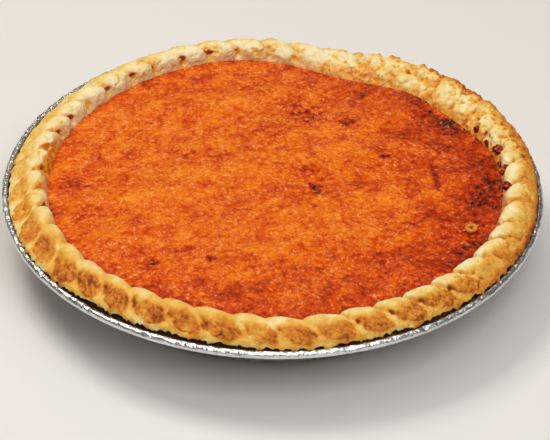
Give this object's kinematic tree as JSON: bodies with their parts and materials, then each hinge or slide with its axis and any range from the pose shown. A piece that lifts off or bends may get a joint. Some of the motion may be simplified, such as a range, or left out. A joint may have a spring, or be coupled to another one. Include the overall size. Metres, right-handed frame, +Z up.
{
  "type": "sweet potato pie",
  "caption": "Whole open-faced sweet potato pie with a hand-crimped pastry edge, baked in a round pleated foil tin with a rolled rim; stands on its flat base.",
  "frame": {"origin": "centre of the tin's flat underside, at the height of whatever it stands on", "axes": "+Z up through the pie, -Y towards the side that faces the viewer, +X to that viewer's right"},
  "size_m": [0.2218, 0.2215, 0.0378],
  "materials": {
    "aluminium_foil": "bright pressed foil, fine crinkles along the rolled rim",
    "baked_pastry": null,
    "baked_sweet_potato": null
  },
  "bodies": {
    "root": {"foil_tin": "aluminium_foil", "pastry_case": "baked_pastry", "sweet_potato_filling": "baked_sweet_potato"}
  },
  "joints": []
}
